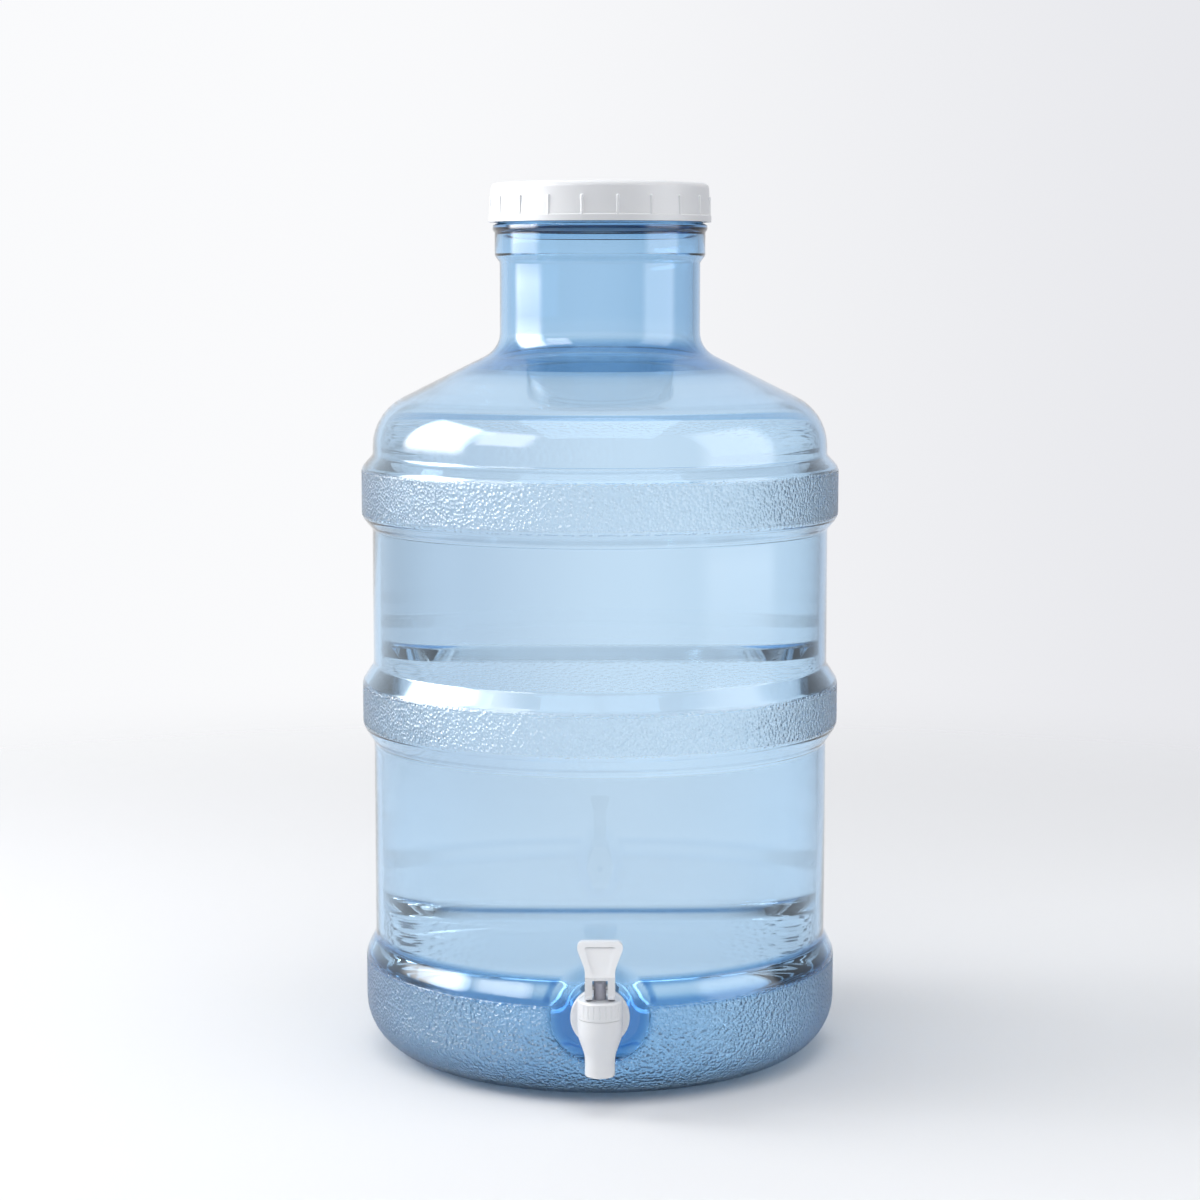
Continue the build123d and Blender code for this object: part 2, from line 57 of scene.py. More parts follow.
WALL = 4.0
MOUTH_HEIGHT = 487.2
BODY_RADIUS = 128.7
SHOULDER_RADIUS = 128.2
NECK_RADIUS = 56.3
SHOULDER_SLOPE = tan(radians(26.4))
VESSEL_CORNERS = [
    (0, 8.0, 0),
    (78.0, 8.0, 10.0),
    (92.0, 0, 10.0),
    (134.1, 0, 30.5),
    (134.1, 55.5, 10.0),
    (BODY_RADIUS, 66.5, 8.0),
    (BODY_RADIUS, 177.6, 4.0),
    (134.9, 187.1, 7.0),
    (134.9, 211.9, 6.0),
    (BODY_RADIUS, 221.4, 3.0),
    (BODY_RADIUS, 298.0, 4.0),
    (134.6, 305.0, 7.0),
    (134.6, 332.6, 6.0),
    (SHOULDER_RADIUS, 339.6, 3.0),
    (SHOULDER_RADIUS, 363.0, 30.5),
    (NECK_RADIUS, 363.0 + (SHOULDER_RADIUS - NECK_RADIUS) * SHOULDER_SLOPE, 15.0),
    (NECK_RADIUS, 446.5, 2.5),
    (59.1, 450.5, 2.5),
    (59.1, 464.0, 0.8),
    (57.3, 466.0, 0.8),
    (57.3, MOUTH_HEIGHT, 0),
]
SMALLEST_INNER_ROUNDING = 0.5
BEAD = (59.1, 60.2, 464.8, 467.3)  # collar radius, crest radius, low, high
THREAD = {"low": 470.5, "high": 485.0, "pitch": 6.0, "height": 1.5, "width": 2.4}
THREAD_TURNS = 3
THREAD_ROW_STEP = 0.6
LIP_ROUNDING = 1.2

# look of the vessel's wall
WALL_BLUE = (0.08, 0.60, 0.955, 1)
WALL_DENSITY = 68.0
DEEP_BLUE = (1.0, 0.56, 0.26)  # what a unit of the painted deeper blue and shade takes from red, green and blue
PAINTED_BACK_SHADE_LINES = [(60.0, 62.0, 1.0), (214.5, 217.5, 0.15), (300.5, 304.5, 0.8)]  # painted shade: dark lines on the back wall at the back ledges; low, high, middle
GRAINED = [(2.0, 53.5, 1.0), (188.5, 210.5, 0.6), (306.5, 331.0, 0.6)]  # low, high, depth
BACK_GRAIN = 0.18
GRAIN_SCALE = 560.0
GRAIN_HEIGHT = 0.002
SMOOTH_ROUGHNESS = 0.015
GRAIN_FROST = 0.6  # added to the roughness with the grain, up to the limit below
FULL_FROST = 0.285

# recess round the spigot: millimetres, and metres for the distances from its centre
PORT_HEIGHT = 48.6
PAD_REACH = 128.4
PAD_RADIUS = 17.8
FLOOR_REACH = 127.6
FLOOR_RADIUS = 20.5
PORT_ZONE_TOP = 86.0
RECESS_BLEND = 5.5
FLARE_SLOPE = 0.85
FLARE_ROOT = 4.0
FLOOR_SHIFT = tan(radians(22.5))  # the floor of an inner skin is wider by this share of the wall
FADE_START = 0.031
FADE_END = 0.036
LEDGE_END = 0.0285
GRAIN_EDGE = (0.0262, 0.0275)

# mesh steps
FINE_STEP = 1.5
COARSE_STEP = 12.0
ARC_STEP = radians(10)
PORT_HALF_ANGLE = radians(16)
PORT_COLUMNS = 68
OTHER_COLUMNS = 104

# water
WATER_GAP = 0.15
WATER_LEVEL = 385.6
MENISCUS = 1.6
MENISCUS_REACH = 2.5

# room: colours of its two sides, and how bright it is in each direction
WHITE_SIDE = (0.955, 0.96, 0.975, 1)
GREY_SIDE = (0.785, 0.79, 0.825, 1)
FAR_RIGHT_LEVEL = 0.62
FRONT_LEVEL = 0.55
ROOM_LEVEL = 0.7
CARD_EDGE = 0.22
FLOOR_HALF = 8.0
LIGHT_BOUNCES = 12

# ---- mesh helpers ----


def inset_corners(corners, distance):
    """Corners of the line that lies this far to the left of the given one."""
    moved = []
    last = len(corners) - 1
    for i, (x, y, rounding) in enumerate(corners):
        before = corners[max(i - 1, 0)]
        after = corners[min(i + 1, last)]
        first = atan2(y - before[1], x - before[0]) if i > 0 else None
        second = atan2(after[1] - y, after[0] - x) if i < last else None
        first = second if first is None else first
        second = first if second is None else second
        half_turn = (second - first) / 2
        middle = (first + second) / 2
        reach = distance / cos(half_turn)
        inner = rounding - distance if half_turn > 0 else rounding + distance
        inner = max(inner, SMALLEST_INNER_ROUNDING)
        moved.append((x - reach * sin(middle), y + reach * cos(middle), inner))
    return moved


def step_at(height):
    """Length of a mesh row here: short where the recess is."""
    return FINE_STEP if height < PORT_ZONE_TOP else COARSE_STEP


def line_points(a, b):
    """Points from a up to but not including b, at the step of its height."""
    length = hypot(b[0] - a[0], b[1] - a[1])
    step = min(step_at(a[1]), step_at(b[1]))
    if max(a[0], b[0]) < 100:
        step = COARSE_STEP
    count = max(1, ceil(length / step))
    return [
        (a[0] + (b[0] - a[0]) * k / count, a[1] + (b[1] - a[1]) * k / count)
        for k in range(count)
    ]


def rounded_path(corners):
    """The line through rounded corners, as (radius, height) points."""
    path = []
    start = corners[0][:2]
    for i in range(1, len(corners) - 1):
        px, py = corners[i][:2]
        ax, ay = px - corners[i - 1][0], py - corners[i - 1][1]
        bx, by = corners[i + 1][0] - px, corners[i + 1][1] - py
        la, lb = hypot(ax, ay), hypot(bx, by)
        turn = atan2(ax * by - ay * bx, ax * bx + ay * by)
        cut = corners[i][2] * abs(tan(turn / 2))
        enter = (px - ax / la * cut, py - ay / la * cut)
        path += line_points(start, enter)
        side = 1 if turn > 0 else -1
        centre = (
            enter[0] - side * ay / la * corners[i][2],
            enter[1] + side * ax / la * corners[i][2],
        )
        arc_length = corners[i][2] * abs(turn)
        count = max(2, ceil(abs(turn) / ARC_STEP), ceil(arc_length / step_at(py)))
        for k in range(count):
            angle = turn * k / count
            dx, dy = enter[0] - centre[0], enter[1] - centre[1]
            path.append(
                (
                    centre[0] + dx * cos(angle) - dy * sin(angle),
                    centre[1] + dx * sin(angle) + dy * cos(angle),
                )
            )
        start = (px + bx / lb * cut, py + by / lb * cut)
    path += line_points(start, corners[-1][:2])
    path.append(corners[-1][:2])
    return path


def smooth_min(a, b, blend):
    """The smaller of two, with a rounded change from one to the other."""
    h = np.clip(0.5 + 0.5 * (b - a) / blend, 0, 1)
    return b + (a - b) * h - blend * h * (1 - h)


def smooth_step(x, low, high):
    t = np.clip((x - low) / (high - low), 0, 1)
    return t * t * (3 - 2 * t)


def plateau(x, up, down):
    """1 between the two slopes, each given as (start, end), and 0 outside them."""
    return smooth_step(x, *up) * (1 - smooth_step(x, *down))


def make_object(name, vertices, faces, material):
    mesh = bpy.data.meshes.new(name)
    mesh.from_pydata([tuple(v) for v in vertices], [], faces)
    mesh.validate()
    mesh.polygons.foreach_set("use_smooth", [True] * len(mesh.polygons))
    mesh.materials.append(material)
    made = bpy.data.objects.new(name, mesh)
    bpy.context.scene.collection.objects.link(made)
    return made


def ring_columns():
    """Angles of the mesh's columns, close together at the port. 0 faces +X."""
    front = -pi / 2
    near = 2 * PORT_HALF_ANGLE
    rest = 2 * pi - near
    return [
        front - PORT_HALF_ANGLE + near * k / PORT_COLUMNS for k in range(PORT_COLUMNS)
    ] + [
        front + PORT_HALF_ANGLE + rest * k / OTHER_COLUMNS for k in range(OTHER_COLUMNS)
    ]


def lathe(path, angles, shape=None):
    """Vertices and faces of a path turned about Z. Path ends on the axis become one vertex."""
    vertices = []
    rings = []
    for r, z in path:
        if r < 1e-6:
            rings.append([len(vertices)])
            vertices.append((0.0, 0.0, z))
            continue
        start = len(vertices)
        for a in angles:
            vertices.append((r * cos(a), r * sin(a), z))
        rings.append(list(range(start, start + len(angles))))
    faces = []
    for low, high in zip(rings, rings[1:]):
        count = max(len(low), len(high))
        for k in range(count):
            n = (k + 1) % count
            if len(low) == 1:
                faces.append((low[0], high[n], high[k]))
            elif len(high) == 1:
                faces.append((low[k], low[n], high[0]))
            else:
                faces.append((low[k], low[n], high[n], high[k]))
    vertices = np.array(vertices)
    if shape is not None:
        vertices = shape(vertices)
    return vertices, faces


# ---- material helpers ----


def new_material(name):
    material = bpy.data.materials.new(name)
    material.use_nodes = True
    tree = material.node_tree
    return material, tree, tree.nodes["Principled BSDF"]


def add_node(tree, kind, inputs=None, **settings):
    node = tree.nodes.new(kind)
    for key, value in settings.items():
        setattr(node, key, value)
    for key, value in (inputs or {}).items():
        node.inputs[key].default_value = value
    return node


def object_point(tree):
    return add_node(tree, "ShaderNodeTexCoord").outputs["Object"]


def bump_from(tree, height, strength, distance):
    bump = add_node(tree, "ShaderNodeBump", {"Strength": strength, "Distance": distance})
    tree.links.new(height, bump.inputs["Height"])
    return bump.outputs["Normal"]


# ---- materials ----


def shell_material():
    """Clear blue polycarbonate, with a pebble grain where the mesh's grain attribute says."""
    material, tree, shader = new_material("blue_shell")
    shader.inputs["IOR"].default_value = 1.5
    shader.inputs["Transmission Weight"].default_value = 1.0
    # deeper blue from the mesh's tint: deeper up the neck, and painted shade under the cap, at the
    # neck's root, over the base, round the recess and along the ledges
    tint = add_node(tree, "ShaderNodeAttribute", attribute_name="tint")
    tree.links.new(tint.outputs["Color"], shader.inputs["Base Color"])
    absorb = add_node(
        tree,
        "ShaderNodeVolumeAbsorption",
        {"Color": WALL_BLUE, "Density": WALL_DENSITY},
    )
    tree.links.new(absorb.outputs["Volume"], tree.nodes["Material Output"].inputs["Volume"])
    cells = add_node(
        tree,
        "ShaderNodeTexVoronoi",
        {"Scale": GRAIN_SCALE, "Smoothness": 0.3, "Randomness": 1.0},
        feature="SMOOTH_F1",
    )
    tree.links.new(object_point(tree), cells.inputs["Vector"])
    mask = add_node(tree, "ShaderNodeAttribute", attribute_name="grain")
    # the grain scatters light, so the wall is frosted where it is
    frost = add_node(tree, "ShaderNodeMath", operation="MULTIPLY_ADD")
    frost.inputs[1].default_value = GRAIN_FROST
    frost.inputs[2].default_value = SMOOTH_ROUGHNESS
    tree.links.new(mask.outputs["Fac"], frost.inputs[0])
    limit = add_node(tree, "ShaderNodeMath", operation="MINIMUM")
    limit.inputs[1].default_value = FULL_FROST
    tree.links.new(frost.outputs["Value"], limit.inputs[0])
    tree.links.new(limit.outputs["Value"], shader.inputs["Roughness"])
    grain = add_node(tree, "ShaderNodeMath", operation="MULTIPLY")
    tree.links.new(cells.outputs["Distance"], grain.inputs[0])
    tree.links.new(mask.outputs["Fac"], grain.inputs[1])
    waves = add_node(tree, "ShaderNodeTexNoise", {"Scale": 9.0, "Detail": 1.0})
    tree.links.new(object_point(tree), waves.inputs["Vector"])
    first = bump_from(tree, waves.outputs["Fac"], 0.35, 0.0012)
    bump = add_node(tree, "ShaderNodeBump", {"Strength": 1.0, "Distance": GRAIN_HEIGHT})
    tree.links.new(grain.outputs["Value"], bump.inputs["Height"])
    tree.links.new(first, bump.inputs["Normal"])
    tree.links.new(bump.outputs["Normal"], shader.inputs["Normal"])
    return material


def water_material():
    """Clear, colourless water with a very slight ripple."""
    material, tree, shader = new_material("water")
    shader.inputs["Base Color"].default_value = (1, 1, 1, 1)
    shader.inputs["Roughness"].default_value = 0.0
    shader.inputs["IOR"].default_value = 1.333
    shader.inputs["Transmission Weight"].default_value = 1.0
    ripples = add_node(tree, "ShaderNodeTexNoise", {"Scale": 6.0, "Detail": 1.0})
    tree.links.new(object_point(tree), ripples.inputs["Vector"])
    normal = bump_from(tree, ripples.outputs["Fac"], 0.15, 0.001)
    tree.links.new(normal, shader.inputs["Normal"])
    return material


def plastic_material(name, colour, roughness, skin_scale=900.0):
    """Moulded plastic: faint cloudiness in the colour, uneven gloss and a fine skin grain."""
    mottle = 0.02
    gloss_range = 0.05
    material, tree, shader = new_material(name)
    clouds = add_node(tree, "ShaderNodeTexNoise", {"Scale": 45.0, "Detail": 3.0})
    tree.links.new(object_point(tree), clouds.inputs["Vector"])
    tint = add_node(tree, "ShaderNodeMix", data_type="RGBA")
    tint.inputs["A"].default_value = tuple(c * (1 - mottle) for c in colour) + (1,)
    tint.inputs["B"].default_value = tuple(min(1, c * (1 + mottle)) for c in colour) + (1,)
    tree.links.new(clouds.outputs["Fac"], tint.inputs["Factor"])
    tree.links.new(tint.outputs["Result"], shader.inputs["Base Color"])
    gloss = add_node(
        tree,
        "ShaderNodeMapRange",
        {"To Min": roughness - gloss_range, "To Max": roughness + gloss_range},
    )
    tree.links.new(clouds.outputs["Fac"], gloss.inputs["Value"])
    tree.links.new(gloss.outputs["Result"], shader.inputs["Roughness"])
    shader.inputs["IOR"].default_value = 1.49
    shader.inputs["Subsurface Weight"].default_value = 0.15
    shader.inputs["Subsurface Radius"].default_value = (1.0, 0.9, 0.8)
    shader.inputs["Subsurface Scale"].default_value = 0.0015
    skin = add_node(tree, "ShaderNodeTexNoise", {"Scale": skin_scale, "Detail": 2.0})
    tree.links.new(object_point(tree), skin.inputs["Vector"])
    normal = bump_from(tree, skin.outputs["Fac"], 0.5, 0.00004)
    tree.links.new(normal, shader.inputs["Normal"])
    return material


def steel_material():
    """Ground steel, with fine uneven gloss."""
    material, tree, shader = new_material("pin_steel")
    shader.inputs["Base Color"].default_value = (0.62, 0.62, 0.64, 1)
    shader.inputs["Metallic"].default_value = 1.0
    streaks = add_node(tree, "ShaderNodeTexNoise", {"Scale": 1500.0, "Detail": 2.0})
    tree.links.new(object_point(tree), streaks.inputs["Vector"])
    gloss = add_node(tree, "ShaderNodeMapRange", {"To Min": 0.25, "To Max": 0.4})
    tree.links.new(streaks.outputs["Fac"], gloss.inputs["Value"])
    tree.links.new(gloss.outputs["Result"], shader.inputs["Roughness"])
    return material


# ---- vessel ----


def port_distance(x, z):
    """Metres from the port's axis, seen from the front."""
    return np.hypot(x, z - PORT_HEIGHT * MM)


def recessed(vertices, floor_reach, floor_radius, pad_reach=None):
    """Pushes the front of the shell back to the recess's floor and flare."""
    x, y, z = vertices.T.copy()
    away = port_distance(x, z)
    zone = (y < 0) & (away < FADE_END)
    past = away - (floor_radius + FLARE_ROOT / 2) * MM
    rise = (past + np.hypot(past, FLARE_ROOT * MM)) / 2
    flare = floor_reach * MM + rise * FLARE_SLOPE
    reach = smooth_min(-y, flare, RECESS_BLEND * MM)
    if pad_reach is not None:
        on_pad = 1 - smooth_step(away, (PAD_RADIUS - 0.3) * MM, (PAD_RADIUS + 0.7) * MM)
        reach = reach + (pad_reach * MM - reach) * on_pad
    fade = 1 - smooth_step(away, FADE_START, FADE_END)
    y = np.where(zone, -(-y + (reach + y) * fade), y)
    return np.column_stack([x, y, z])


def thread_rise(angle, height):
    """How far the neck's screw thread stands out here, in millimetres."""
    t = THREAD
    low, high = t["low"], t["high"]
    centre = low + (np.mod(angle, 2 * pi) / (2 * pi)) * t["pitch"]
    rise = np.zeros_like(height)
    for turn in range(THREAD_TURNS):
        off = np.abs(height - centre - turn * t["pitch"])
        flank = 1 - smooth_step(off, t["width"] * 0.25, t["width"] * 0.75)
        rise = np.maximum(rise, flank)
    ends = plateau(height, (low - 1, low + 1), (high - 2, high))
    return rise * ends * t["height"]


def neck_points():
    """The outer line from the collar over the bead and the threaded finish to the lip."""
    collar, crest, low, high = BEAD
    finish = VESSEL_CORNERS[-1][0]
    return [
        (collar, 463.2, 0.8),
        (crest, low, 0.5),
        (crest, high, 0.5),
        (finish, high + 1.2, 0.6),
        (finish, MOUTH_HEIGHT, LIP_ROUNDING),
        (finish - WALL / 2, MOUTH_HEIGHT, 0),
    ]


def depth_with_painted_shade(x, y, z):
    """How much deeper blue each point is painted, as a share of DEEP_BLUE: deeper up the neck, and
    painted shade under the cap, at the neck's root, over the base, round the recess and along the
    ledges.
    """
    level = z / MM
    away = port_distance(x, z)
    behind = smooth_step(y, -0.02, 0.03)
    neck = 0.25 * smooth_step(level, 398, 412)
    # painted shade on the finish just under the cap
    finish = 0.3 * smooth_step(level, 462, 466)
    # painted shade: a dark band round the neck's root, just above the water
    root = 0.8 * plateau(level, (384.5, 386.5), (396, 406))
    front = 1 - smooth_step(np.abs(x), 0.02, 0.11)
    wall = smooth_step(np.hypot(x, y), 0.095, 0.118)
    # painted shade over the base: deepest in front towards the spigot, less to the sides and on
    # the back wall, gone above the ledge and faint on the underside; the foot takes a little more
    # in front
    base = (0.36 + 0.44 * front) * (1 - 0.85 * behind) * (1 - smooth_step(level, 54, 62)) * wall
    base = base * (0.1 + 0.9 * smooth_step(level, 2, 16))
    foot = 0.05 * front * (1 - behind) * plateau(level, (3, 10), (10, 36)) * wall
    above_port = smooth_step(level, 50, 66)
    # painted shade round the recess, weaker above the port
    near_port = 1.5 * (y < 0) * (1 - smooth_step(away, 0.021, FADE_START)) * (1 - 0.6 * above_port)
    depth = neck + finish + root + base + foot + near_port
    # painted shade: dark lines along the back ledges, where they show through the water
    for low, high, middle in PAINTED_BACK_SHADE_LINES:
        line = plateau(level, (low - 1, low), (high, high + 1))
        aside = smooth_step(np.abs(x), 0.02, 0.08)
        depth = depth + 1.4 * line * behind * (middle + (1 - middle) * aside)
    # painted shade: the ledge over the base shows as two dark lines that meet beside the recess
    upper = plateau(level, (63, 65), (67, 69.5))
    lower = plateau(level, (51.5, 53.5), (56, 58.5))
    within = plateau(level, (55, 57), (65, 67))
    past_end = smooth_step(away, LEDGE_END - 0.001, LEDGE_END)
    end = past_end * (1 - smooth_step(away, LEDGE_END + 0.0015, LEDGE_END + 0.0035))
    ledge = (1.1 * upper + 0.9 * lower + 0.2 * within) * past_end + within * end
    return depth + ledge * (1 - behind)


def outer_rows():
    """The shell's outer line, with fine rows where the thread is."""
    low, high = THREAD["low"], THREAD["high"]
    finish = VESSEL_CORNERS[-1][0]
    outer = rounded_path(VESSEL_CORNERS[:-3] + neck_points())
    rows = [p for p in outer if not (abs(p[0] - finish) < 0.05 and low - 1 < p[1] < high)]
    count = int((high - low + 1) / THREAD_ROW_STEP)
    thread_rows = [(finish, low - 1 + THREAD_ROW_STEP * k) for k in range(count)]
    cut = next(i for i, p in enumerate(rows) if p[1] > high - 0.01 and p[0] > finish - 1)
    return rows[:cut] + thread_rows + rows[cut:]


def inner_rows():
    """The shell's inner line, up to half way over the lip."""
    corners = inset_corners(VESSEL_CORNERS, WALL)
    top = corners[-1][0]
    corners[-1] = (top, MOUTH_HEIGHT, LIP_ROUNDING)
    corners.append((top + WALL / 2, MOUTH_HEIGHT, 0))
    return rounded_path(corners)


def shape_outside(vertices):
    """Puts the recess and the screw thread on the outer skin."""
    vertices = recessed(vertices * MM, FLOOR_REACH, FLOOR_RADIUS, PAD_REACH)
    x, y, z = vertices.T.copy()
    radius = np.hypot(x, y)
    threaded = (z > (THREAD["low"] - 1) * MM) & (z < THREAD["high"] * MM) & (radius > 0.056)
    rise = thread_rise(np.arctan2(y, x), z / MM) * MM * threaded
    scale = 1 + rise / np.maximum(radius, 1e-9)
    return np.column_stack([x * scale, y * scale, z])


def shape_inside(wall):
    """Puts the recess on a skin that lies this far inside the outer one."""
    reach = FLOOR_REACH - wall
    radius = FLOOR_RADIUS + wall * FLOOR_SHIFT
    return lambda vertices: recessed(vertices * MM, reach, radius)


def grain_depth(x, y, z):
    """Depth of the moulded grain on the outer skin, from 0 to 1."""
    level = z / MM
    grain = np.zeros(len(z))
    for low, high, depth in GRAINED:
        band = plateau(level, (low - 1.5, low + 1.5), (high - 1.5, high + 1.5))
        grain = np.maximum(grain, depth * band)
    clear = np.where(y < 0, smooth_step(port_distance(x, z), *GRAIN_EDGE), 1)
    grain = grain * clear * smooth_step(np.hypot(x, y), 0.106, 0.112)
    return grain * (1 + (BACK_GRAIN - 1) * smooth_step(y, -0.04, 0.04))


def paint_shell(vessel, points, outside_count):
    """Stores the grain, and the painted deeper blue and shade, on the mesh, where the material
    reads them.
    """
    grain = np.zeros(len(points))
    grain[:outside_count] = grain_depth(*points[:outside_count].T)
    attribute = vessel.data.attributes.new("grain", "FLOAT", "POINT")
    attribute.data.foreach_set("value", grain.astype(np.float32))
    tint = np.ones((len(points), 4))
    tint[:, :3] = np.exp(-depth_with_painted_shade(*points.T)[:, None] * np.array(DEEP_BLUE))
    attribute = vessel.data.attributes.new("tint", "FLOAT_COLOR", "POINT")
    attribute.data.foreach_set("color", tint.astype(np.float32).ravel())


def build_vessel(material):
    angles = ring_columns()
    outside, outside_faces = lathe(outer_rows(), angles, shape_outside)
    inside, inside_faces = lathe(inner_rows()[::-1], angles, shape_inside(WALL))
    # the last outer ring and the first inner ring are the same line, half way over the lip
    count = len(angles)
    joined = np.vstack([outside, inside[count:]])
    offset = len(outside) - count
    faces = outside_faces + [tuple(i + offset for i in face) for face in inside_faces]
    vessel = make_object("vessel_shell", joined, faces, material)
    paint_shell(vessel, joined, len(outside))
    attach(vessel, "vessel")
    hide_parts("vessel")


def build_water(material):
    """Fills the vessel to WATER_LEVEL, with a surface that climbs a little at the wall."""
    path = rounded_path(inset_corners(VESSEL_CORNERS, WALL + WATER_GAP))
    wet = [p for p in path if p[1] < WATER_LEVEL - 1]
    edge = wet[-1][0] - (WATER_LEVEL - wet[-1][1]) / SHOULDER_SLOPE
    wet.append((edge, WATER_LEVEL))
    for k in range(1, 7):
        off = k * 1.5
        drop = MENISCUS * (1 - exp(-off / MENISCUS_REACH)) * 0.6
        wet.append((edge - off, WATER_LEVEL - drop))
    wet += [(edge * share, wet[-1][1]) for share in (0.6, 0.3, 0)]
    vertices, faces = lathe(wet, ring_columns(), shape_inside(WALL + WATER_GAP))
    water = make_object("water", vertices, faces, material)
    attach(water, "vessel")


# ---- floor, light, camera ----


def floor_material():
    """A white sweep that takes the shadow and fades into the backdrop away from the part."""
    material, tree, shader = new_material("floor_white")
    shader.inputs["Base Color"].default_value = (0.85, 0.86, 0.875, 1)
    shader.inputs["Roughness"].default_value = 0.9
    shader.inputs["Specular IOR Level"].default_value = 0.1
    spot = add_node(tree, "ShaderNodeVectorMath", operation="LENGTH")
    tree.links.new(object_point(tree), spot.inputs[0])
    fade = add_node(
        tree,
        "ShaderNodeMapRange",
        {"From Min": 0.45, "From Max": 1.5, "To Min": 1.0, "To Max": 0.0},
        interpolation_type="SMOOTHSTEP",
    )
    tree.links.new(spot.outputs["Value"], fade.inputs["Value"])
    tree.links.new(fade.outputs["Result"], shader.inputs["Alpha"])
    return material


def build_world():
    """A white room: brightest on the left, greyer on the right, and dim in front (-Y)."""
    world = bpy.data.worlds.new("studio")
    bpy.context.scene.world = world
    world.use_nodes = True
    tree = world.node_tree
    shader = tree.nodes["Background"]
    way = add_node(tree, "ShaderNodeTexCoord")
    axes = add_node(tree, "ShaderNodeSeparateXYZ")
    tree.links.new(way.outputs["Generated"], axes.inputs["Vector"])
    side = add_node(
        tree,
        "ShaderNodeMapRange",
        {"From Min": -0.12, "From Max": 0.3},
        interpolation_type="SMOOTHSTEP",
    )
    tree.links.new(axes.outputs["X"], side.inputs["Value"])
    wall = add_node(tree, "ShaderNodeMix", data_type="RGBA")
    wall.inputs["A"].default_value = WHITE_SIDE
    wall.inputs["B"].default_value = GREY_SIDE
    tree.links.new(side.outputs["Result"], wall.inputs["Factor"])
    tree.links.new(wall.outputs["Result"], shader.inputs["Color"])
    front = add_node(
        tree,
        "ShaderNodeMapRange",
        {"From Min": -0.6, "From Max": 0.1, "To Min": FRONT_LEVEL, "To Max": 1.0},
        interpolation_type="SMOOTHSTEP",
    )
    tree.links.new(axes.outputs["Y"], front.inputs["Value"])
    right = add_node(
        tree,
        "ShaderNodeMapRange",
        {"From Min": 0.32, "From Max": 0.75, "To Min": 1.0, "To Max": FAR_RIGHT_LEVEL},
        interpolation_type="SMOOTHSTEP",
    )
    tree.links.new(axes.outputs["X"], right.inputs["Value"])
    path = add_node(tree, "ShaderNodeLightPath")
    clear = add_node(tree, "ShaderNodeMath", operation="MAXIMUM")
    tree.links.new(path.outputs["Is Camera Ray"], clear.inputs[0])
    tree.links.new(path.outputs["Is Transmission Ray"], clear.inputs[1])
    seen = add_node(tree, "ShaderNodeMath", operation="MAXIMUM")
    tree.links.new(front.outputs["Result"], seen.inputs[0])
    tree.links.new(clear.outputs["Value"], seen.inputs[1])
    lit = add_node(tree, "ShaderNodeMapRange", {"To Min": 1.0, "To Max": ROOM_LEVEL})
    tree.links.new(path.outputs["Is Diffuse Ray"], lit.inputs["Value"])
    room = add_node(tree, "ShaderNodeMath", operation="MULTIPLY")
    tree.links.new(seen.outputs["Value"], room.inputs[0])
    tree.links.new(lit.outputs["Result"], room.inputs[1])
    level = add_node(tree, "ShaderNodeMath", operation="MULTIPLY")
    tree.links.new(room.outputs["Value"], level.inputs[0])
    tree.links.new(right.outputs["Result"], level.inputs[1])
    tree.links.new(level.outputs["Value"], shader.inputs["Strength"])


def soften(lamp, edge):
    """Fades a lamp's face towards its edges, as a softbox does."""
    lamp.use_nodes = True
    tree = lamp.node_tree
    face = add_node(tree, "ShaderNodeNewGeometry")
    axes = add_node(tree, "ShaderNodeSeparateXYZ")
    tree.links.new(face.outputs["Parametric"], axes.inputs["Vector"])
    sides = []
    for axis in ("X", "Y"):
        off = add_node(tree, "ShaderNodeMath", {1: 0.5}, operation="SUBTRACT")
        tree.links.new(axes.outputs[axis], off.inputs[0])
        size = add_node(tree, "ShaderNodeMath", operation="ABSOLUTE")
        tree.links.new(off.outputs["Value"], size.inputs[0])
        fade = add_node(
            tree,
            "ShaderNodeMapRange",
            {"From Min": 0.5 - edge, "From Max": 0.5, "To Min": 1.0, "To Max": 0.0},
            interpolation_type="SMOOTHSTEP",
        )
        tree.links.new(size.outputs["Value"], fade.inputs["Value"])
        sides.append(fade)
    both = add_node(tree, "ShaderNodeMath", operation="MULTIPLY")
    tree.links.new(sides[0].outputs["Result"], both.inputs[0])
    tree.links.new(sides[1].outputs["Result"], both.inputs[1])
    tree.links.new(both.outputs["Value"], tree.nodes["Emission"].inputs["Strength"])


def add_lamp(name, place, target, width, height, power, card=False):
    """A soft lamp that isn't reflected, or a card that is only seen as a reflection."""
    lamp = bpy.data.lights.new(name, "AREA")
    lamp.shape = "RECTANGLE"
    lamp.size = width
    lamp.size_y = height
    lamp.energy = power
    made = bpy.data.objects.new(name, lamp)
    bpy.context.scene.collection.objects.link(made)
    made.location = place
    made.rotation_euler = (Vector(target) - Vector(place)).to_track_quat("-Z", "Y").to_euler()
    made.visible_camera = False
    made.visible_glossy = card
    if card:
        made.visible_diffuse = False
        made.visible_transmission = False
        soften(lamp, CARD_EDGE)


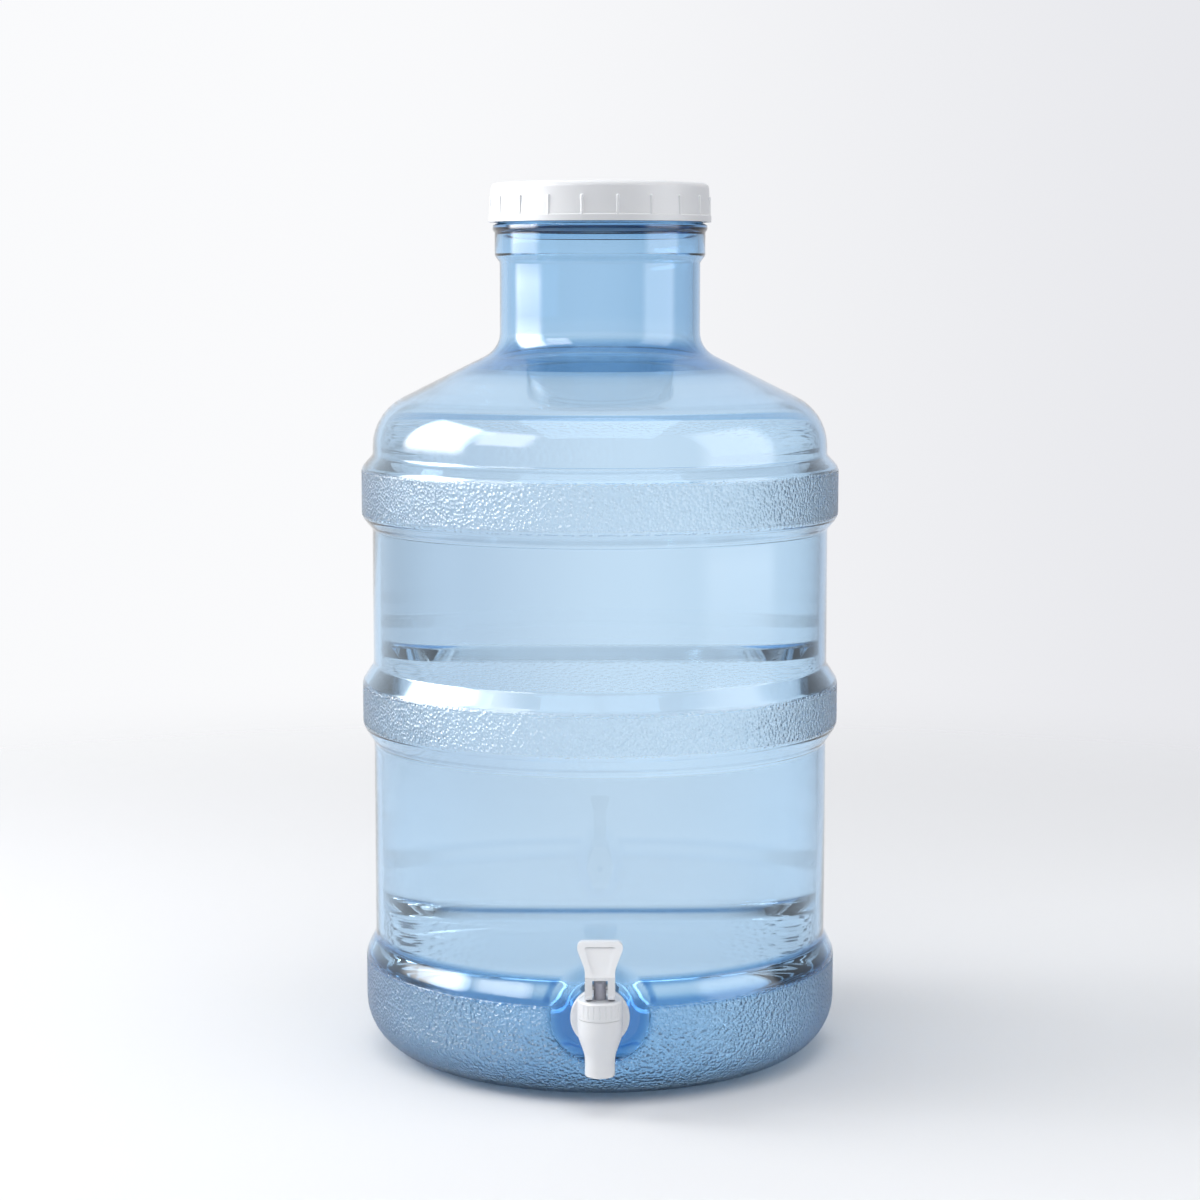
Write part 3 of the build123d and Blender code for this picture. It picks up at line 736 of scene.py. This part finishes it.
def build_stage():
    half = FLOOR_HALF
    floor = make_object(
        "floor",
        [(-half, -half, 0), (half, -half, 0), (half, half, 0), (-half, half, 0)],
        [(0, 1, 2, 3)],
        floor_material(),
    )
    build_world()
    # lamps give the light, and the cards are their bright faces as the shell reflects them
    add_lamp("key", (-1.45, 0.05, 1.05), (0, 0, 0.25), 1.3, 1.1, 13.0)
    add_lamp("sun", (-1.9, 0.05, 1.3), (0, 0, 0.2), 0.45, 0.45, 5.0)
    add_lamp("fill", (1.15, -0.3, 0.8), (0.1, 0, 0.1), 1.0, 1.0, 2.2)
    add_lamp("top", (0.0, -0.75, 2.1), (0, 0, 0), 1.8, 1.8, 19.0)
    add_lamp("key_card", (-1.25, 0.0, 0.95), (0, 0, 0.95), 1.15, 1.3, 75.0, card=True)
    add_lamp("front_card", (-1.05, -0.85, 1.1), (0, 0, 0.3), 0.9, 0.8, 16.0, card=True)
    add_lamp("fill_card", (1.09, -0.375, 0.7), (0, 0, 0.7), 1.1, 1.4, 13.0, card=True)


def build_camera():
    data = bpy.data.cameras.new("camera")
    data.lens = CAMERA_LENS
    data.sensor_width = SENSOR
    camera = bpy.data.objects.new("camera", data)
    bpy.context.scene.collection.objects.link(camera)
    camera.location = (0, -CAMERA_DISTANCE, CAMERA_HEIGHT)
    camera.rotation_euler = (radians(90 - CAMERA_PITCH), 0, 0)
    bpy.context.scene.camera = camera


# ---- scene ----

bpy.context.scene.view_settings.view_transform = "Standard"
bpy.context.scene.cycles.max_bounces = LIGHT_BOUNCES
bpy.context.scene.cycles.transmission_bounces = LIGHT_BOUNCES

build_camera()
build_stage()
build_vessel(shell_material())
build_water(water_material())

white = plastic_material("white_plastic", (0.85, 0.865, 0.89), 0.36)
grey = plastic_material("grey_plastic", (0.60, 0.60, 0.67), 0.4)
foam = plastic_material("foam", (0.8, 0.8, 0.79), 0.75, skin_scale=1400.0)
silicone = plastic_material("silicone", (0.72, 0.73, 0.75), 0.6)
finishes = {
    "white_plastic": white,
    "grey_plastic": grey,
    "foam": foam,
    "silicone": silicone,
    "steel": steel_material(),
}
for row in frame["record"]["subparts"]:
    if row["material_slot"] in finishes:
        node = frame["nodes"][row["node"]]
        node.data.materials.clear()
        node.data.materials.append(finishes[row["material_slot"]])
